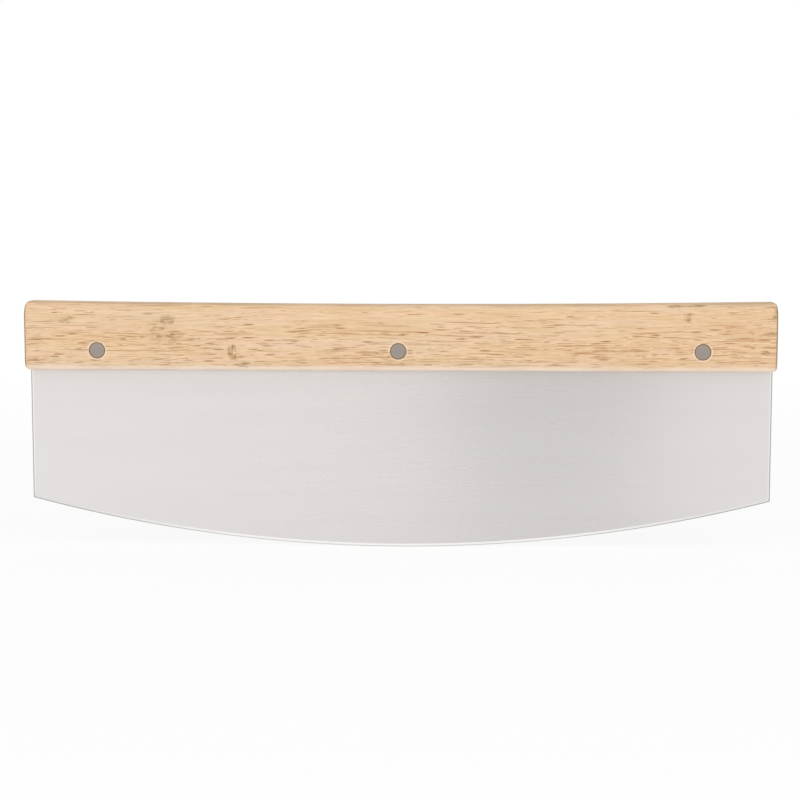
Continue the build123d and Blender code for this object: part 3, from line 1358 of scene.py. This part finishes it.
@dataclass(frozen=True)
class Blade:
    """The steel sheet: straight sides, an arc below, two bevels on each side, three holes.

    Attributes:
        half_length: Half the sheet's length.
        half_thickness: Half its thickness.
        top: Height of the tang's upper edge.
        rivets: The rivets, from left to right.
    """

    half_length: float
    half_thickness: float
    top: float
    rivets: tuple[RivetPlace, ...]
    corner_height: float = 22.6 * MM
    corner_radius: float = 2.0 * MM
    chamfer: float = 0.25 * MM
    bevel_height: float = 1.5 * MM
    edge_height: float = 0.5 * MM
    edge_half_thickness: float = 0.5 * MM
    half_land: float = 0.1 * MM
    hole_radius: float = 2.5 * MM
    spacing: float = 3.0 * MM
    face_lines: int = 16
    corner_steps: int = 5
    rim_width: float = 1.0 * MM
    patch: HolePatch = HolePatch()

    @property
    def arc_radius(self) -> float:
        """The cutting arc's radius, from its half chord and its rise."""
        return (self.half_length**2 + self.corner_height**2) / (2 * self.corner_height)

    def arc(self, x: np.ndarray, inwards: float) -> np.ndarray:
        """Gives the height at x of the arc that lies so far inside the cutting edge."""
        return self.arc_radius - np.sqrt((self.arc_radius - inwards) ** 2 - x**2)

    def places(self) -> np.ndarray:
        """Spreads places along the blade, closer together at its rounded tang corners.

        Returns:
            The places, from left to right.
        """
        flat = self.half_length - self.corner_radius
        past = self.corner_radius - self.chamfer
        turn = np.linspace(0.0, math.pi / 2, self.corner_steps + 1)[1:]
        end = flat + np.append(past * np.sin(turn), self.corner_radius)
        middle = stations(-flat, flat, self.patch, self.rivets, self.spacing)
        return np.concatenate((-end[::-1], middle, end))

    def outside(self, x: np.ndarray) -> Grid:
        """Works out the front half of the section, from the tang's top down to the edge.

        At a corner of the tang the top falls by r - sqrt(r² - t²), t past the rounding's
        start. At the last place on each side the chamfer has thinned the sheet.

        Args:
            x: Places along the blade.

        Returns:
            The surface, with the squares round the rivets left out.
        """
        past = np.clip(np.abs(x) - (self.half_length - self.corner_radius), 0.0, self.corner_radius)
        top = (self.top - self.corner_radius + np.sqrt(self.corner_radius**2 - past**2))[:, None]
        square = self.patch.lines(self.rivets[0].z)[::-1]
        bevel, edge = self.arc(x, self.bevel_height)[:, None], self.arc(x, 0.0)[:, None]
        down = square[-1] + (bevel - square[-1]) * np.linspace(0.0, 1.0, self.face_lines + 1)[1:]
        z = np.concatenate(
            (
                top,
                top,
                top - self.chamfer,
                square + 0 * top,
                down,
                self.arc(x, self.edge_height)[:, None],
                edge,
                edge,
            ),
            axis=1,
        )
        y = np.full(z.shape[1], self.half_thickness)
        y[0], y[1] = 0.0, self.half_thickness - self.chamfer
        y[-3:] = self.edge_half_thickness, self.half_land, 0.0
        thin = np.where(past > self.corner_radius - self.chamfer / 2, self.chamfer, 0.0)[:, None]
        y = np.minimum(y, self.half_thickness - thin)
        points = np.stack((x[:, None] + 0 * z, -y, z), axis=-1)
        return self.patch.leave_out(points, np.arange(3, 3 + len(square)), self.rivets)

    def rivet_hole(self, place: RivetPlace) -> Grid:
        """Makes the front half of one hole, from the sheet's front face to its middle.

        Args:
            place: The rivet.

        Returns:
            The surface of the hole, out to the edge of its square.
        """
        face = -self.half_thickness
        steps = (
            (None, face),
            (self.hole_radius + self.rim_width, face),
            (self.hole_radius, face),
            (self.hole_radius, 0.0),
        )
        return self.patch.rings(place, steps)

    def build(self) -> bpy.types.Object:
        """Builds the sheet: the front half and its mirror image, welded, with flat sides.

        Returns:
            The sheet.
        """
        skin = self.outside(self.places())
        to_middle = np.array((1.0, 0.0, 1.0))
        ends = (skin.points[0], skin.points[-1])
        sides = [Grid(np.stack((end, end * to_middle))) for end in ends]
        front = [skin, *sides, *(self.rivet_hole(place) for place in self.rivets)]
        return closed_object("steel_blade", front + [grid.mirrored() for grid in front])


@dataclass(frozen=True)
class Rivet:
    """A cutler's rivet in two halves, each turned round the rivet's axis.

    Attributes:
        place: Where its axis is.
        half_grip: Half the handle's thickness.
    """

    place: RivetPlace
    half_grip: float
    head_radius: float = 3.6 * MM
    head_thickness: float = 1.6 * MM
    head_chamfer: float = 0.15 * MM
    head_sink: float = 0.1 * MM
    dome: float = 0.05 * MM
    tube_radius: float = 2.4 * MM
    bore_radius: float = 1.61 * MM
    socket_floor: float = 0.8 * MM
    stud_radius: float = 1.6 * MM
    stud_gap: float = 1.0 * MM
    around: int = 64
    face_rings: int = 8

    def profile(self, half: RivetHalf) -> np.ndarray:
        """Gives the radius and the depth under the head's rim of each point of the profile.

        The head's face rises to its middle by dome * (1 - (r / face radius)²).

        Args:
            half: Which half it is.

        Returns:
            An array of points by 2, from the middle of the face to the far end of the axis.
        """
        face = self.head_radius - self.head_chamfer
        radius = np.linspace(0.0, face, self.face_rings + 1)
        dome = np.stack((radius, -self.dome * (1 - (radius / face) ** 2)), axis=-1)
        tube_end = 2 * (self.half_grip - self.head_sink) - self.head_thickness
        head = [(self.head_radius, self.head_chamfer), (self.head_radius, self.head_thickness)]
        if half is RivetHalf.SOCKET:
            shank = [
                (self.tube_radius, self.head_thickness),
                (self.tube_radius, tube_end),
                (self.bore_radius, tube_end),
                (self.bore_radius, self.socket_floor),
                (0.0, self.socket_floor),
            ]
        else:
            tip = tube_end + self.head_thickness - self.socket_floor - self.stud_gap
            shank = [
                (self.stud_radius, self.head_thickness),
                (self.stud_radius, tip - self.head_chamfer),
                (self.stud_radius - self.head_chamfer, tip),
                (0.0, tip),
            ]
        return np.concatenate((dome, np.array(head + shank)))

    def build(self, half: RivetHalf) -> bpy.types.Object:
        """Turns one half: points (r cos a, depth, r sin a), with the head on its own side.

        Args:
            half: Which half it is.

        Returns:
            The half rivet.
        """
        radius, depth = self.profile(half).T
        turn = np.linspace(0.0, 2 * math.pi, self.around + 1)
        y = half.value * (self.half_grip - self.head_sink - depth)
        points = np.stack(
            (
                self.place.x + radius[:, None] * np.cos(turn),
                y[:, None] + 0 * turn,
                self.place.z + radius[:, None] * np.sin(turn),
            ),
            axis=-1,
        )
        return closed_object(f"rivet_{half.name.lower()}_{self.place.name}_satin", [Grid(points)])


class Knife:
    """The whole knife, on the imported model's frame."""

    def __init__(self) -> None:
        """Takes the places and outer sizes of the pieces from the frame."""
        self.rivets = tuple(self._rivet_place(name) for name in ("left", "centre", "right"))
        low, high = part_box("handle")
        self.handle = Handle(high.x, high.y, low.z, self.rivets)
        _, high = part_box("blade")
        self.blade = Blade(high.x, high.y, high.z, self.rivets)

    @staticmethod
    def _rivet_place(name: str) -> RivetPlace:
        """Finds a rivet's axis, in the middle of its stud."""
        low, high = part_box(f"rivet_stud_{name}")
        return RivetPlace(name, (low.x + high.x) / 2, (low.z + high.z) / 2)

    @staticmethod
    def _fit(piece: bpy.types.Object, material: bpy.types.Material, node: str, slot: Slot) -> None:
        """Dresses a piece and sets it in the place of a node of the frame.

        Args:
            piece: The piece.
            material: Its finish.
            node: The node that it stands for.
            slot: The record's slot for its finish; not used.
        """
        piece.data.materials.append(material)
        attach(piece, "root")
        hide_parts(node)
        log.info("%s stands for %s, with %d faces", piece.name, node, len(piece.data.polygons))

    def build(self, effects: Effects) -> None:
        """Builds and dresses every piece.

        Args:
            effects: The shared effects.
        """
        wood = Rubberwood(self.handle).make(effects)
        steel = BrushedSteel(self.blade).make(effects)
        satin = SatinRivet(self.rivets, Rivet.head_radius).make(effects)
        self._fit(self.handle.build(), wood, "handle", Slot.WOOD)
        self._fit(self.blade.build(), steel, "blade", Slot.STEEL)
        for place in self.rivets:
            rivet = Rivet(place, self.handle.half_thickness)
            for half in RivetHalf:
                node = f"rivet_{half.name.lower()}_{place.name}"
                self._fit(rivet.build(half), satin, node, Slot.RIVET)


@dataclass(frozen=True)
class Lamp:
    """A soft lamp with a rectangular face.

    Attributes:
        name: Its name.
        place: Where it hangs.
        width: The width of its face.
        height: The height of its face.
        power: Its power in watts.
        roll: How far it is turned about its own axis, in degrees.
    """

    name: str
    place: tuple[float, float, float]
    width: float
    height: float
    power: float
    roll: float = 0.0

    def hang(self, target: Vector) -> None:
        """Hangs the lamp and turns it to the target.

        Args:
            target: The point that it shines at.
        """
        data = bpy.data.lights.new(self.name, "AREA")
        data.shape = "RECTANGLE"
        data.size, data.size_y = self.width, self.height
        data.energy = self.power
        lamp = new_object(self.name, data)
        lamp.location = self.place
        aim = (target - lamp.location).to_track_quat("-Z", "Y")
        roll = Quaternion((0.0, 0.0, 1.0), math.radians(self.roll))
        lamp.rotation_euler = (aim @ roll).to_euler()


@dataclass(frozen=True)
class Studio:
    """A pale round floor, soft lamps, an even sky and the camera.

    Attributes:
        floor_radius: The floor's radius.
        floor_colour: Its colour.
        floor_glow: How far it is lifted to white beneath the knife, from 0 to 1.
        floor_spokes: How many points it has around.
        floor_rings: How many rings it has.
        whitening: How far from the middle it begins to turn white, and where it is all white.
        sky: The strength of the light from the sky.
        lamps: The lamps.
        look_at: The point that the camera looks at.
        azimuth: How far the camera stands to the right of straight in front, in degrees.
        elevation: How far it stands above the level, in degrees.
        distance: How far it stands from that point.
        lens: Its focal length in millimetres.
        clip: The nearest and the furthest distance that it sees.
    """

    floor_radius: float = 4.0
    floor_colour: Colour = (0.95, 0.95, 0.95, 1.0)
    floor_glow: float = 0.86
    floor_spokes: int = 72
    floor_rings: int = 8
    whitening: tuple[float, float] = (0.25, 0.9)
    sky: float = 0.69
    lamps: tuple[Lamp, ...] = (
        Lamp("left_softbox", (-1.0, -0.95, 1.2), 0.9, 0.9, 4.5),
        Lamp("right_softbox", (0.95, -0.95, 1.2), 0.9, 0.9, 4.5),
        Lamp("left_strip", (-0.31, -1.15, 0.25), 0.66, 0.48, 1.0, 12.0),
        Lamp("right_strip", (0.56, -1.15, 0.25), 0.72, 0.48, 1.0),
    )
    look_at: tuple[float, float, float] = (0.42 * MM, 0.0, 70.0 * MM)
    azimuth: float = 2.2
    elevation: float = 6.46
    distance: float = 0.9
    lens: float = 86.0
    clip: tuple[float, float] = (0.01, 20.0)

    @staticmethod
    def _seen(board: Board) -> Socket:
        """Finds what the camera sees, by itself, in a reflection or through glass.

        Args:
            board: The board of the floor or of the world.

        Returns:
            1 where it is seen, 0 where it only lights the knife.
        """
        path = board.add("ShaderNodeLightPath").outputs
        kinds = ("Is Camera Ray", "Is Glossy Ray", "Is Transmission Ray")
        return board.chain("MAXIMUM", *(path[kind] for kind in kinds))

    def lay_floor(self) -> None:
        """Lays the floor: rings of points (r cos a, r sin a), with the radius growing outwards.

        It shows the knife's shadow near by, and fades to the white of the background further off.
        """
        turn = np.linspace(0.0, 2 * math.pi, self.floor_spokes + 1)
        radius = self.floor_radius * np.linspace(0.0, 1.0, self.floor_rings + 1)[:, None] ** 2
        points = np.stack((radius * np.cos(turn), radius * np.sin(turn), 0 * radius * turn), axis=-1)
        mesh = bpy.data.meshes.new("floor")
        mesh.from_pydata(points.reshape(-1, 3), [], Grid(points).quads().tolist())
        floor = new_object("floor", mesh)
        bench = Bench("pale_floor", self.floor_colour)
        shader = bench.shader
        bench.supply(shader, Base_Color=bench.colour, Roughness=0.9, Specular_IOR_Level=0.0)
        glow = bench.add("ShaderNodeEmission", {"Color": WHITE, "Strength": 1.0})
        far = bench.fade(bench.length(bench.place), *self.whitening, self.floor_glow, 1.0)
        amount = bench.times(self._seen(bench), far)
        mixed = {0: amount, 1: shader.outputs[0], 2: glow.outputs[0]}
        both = bench.add("ShaderNodeMixShader", mixed).outputs[0]
        bench.supply(bench.tree.nodes["Material Output"], Surface=both)
        mesh.materials.append(bench.material)
        floor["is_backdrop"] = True

    def light(self) -> None:
        """Lights the knife from an even sky and soft lamps, and shows a white background."""
        world = bpy.data.worlds.new("studio")
        bpy.context.scene.world = world
        world.use_nodes = True
        board = Board(world.node_tree)
        strength = board.fade(self._seen(board), 0.0, 1.0, self.sky, 1.0)
        board.supply(world.node_tree.nodes["Background"], Color=WHITE, Strength=strength)
        for lamp in self.lamps:
            lamp.hang(Vector(self.look_at))

    def set_camera(self) -> None:
        """Sets the camera on a sphere round the point that it looks at."""
        turn, rise = math.radians(self.azimuth), math.radians(self.elevation)
        level = math.cos(rise)
        back = Vector((math.sin(turn) * level, -math.cos(turn) * level, math.sin(rise)))
        data = bpy.data.cameras.new("camera")
        data.lens = self.lens
        data.clip_start, data.clip_end = self.clip
        camera = new_object("camera", data)
        camera.location = Vector(self.look_at) + back * self.distance
        camera.rotation_euler = (-back).to_track_quat("-Z", "Y").to_euler()
        bpy.context.scene.camera = camera

    def build(self) -> None:
        """Builds the floor, the light and the camera."""
        self.lay_floor()
        self.light()
        self.set_camera()
        bpy.context.scene.view_settings.view_transform = "Standard"


def corners() -> list[list[float]]:
    """Gives the lowest and the highest corner of what shows, as plain lists."""
    return [list(corner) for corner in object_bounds()]


def main() -> None:
    """Builds the knife on its frame, then the studio."""
    logging.basicConfig(level=logging.INFO, format="%(name)s: %(message)s")
    for old in list(bpy.data.objects):
        bpy.data.objects.remove(old)
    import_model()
    Knife().build(Effects())
    Studio().build()


if __name__ == "__main__":
    main()
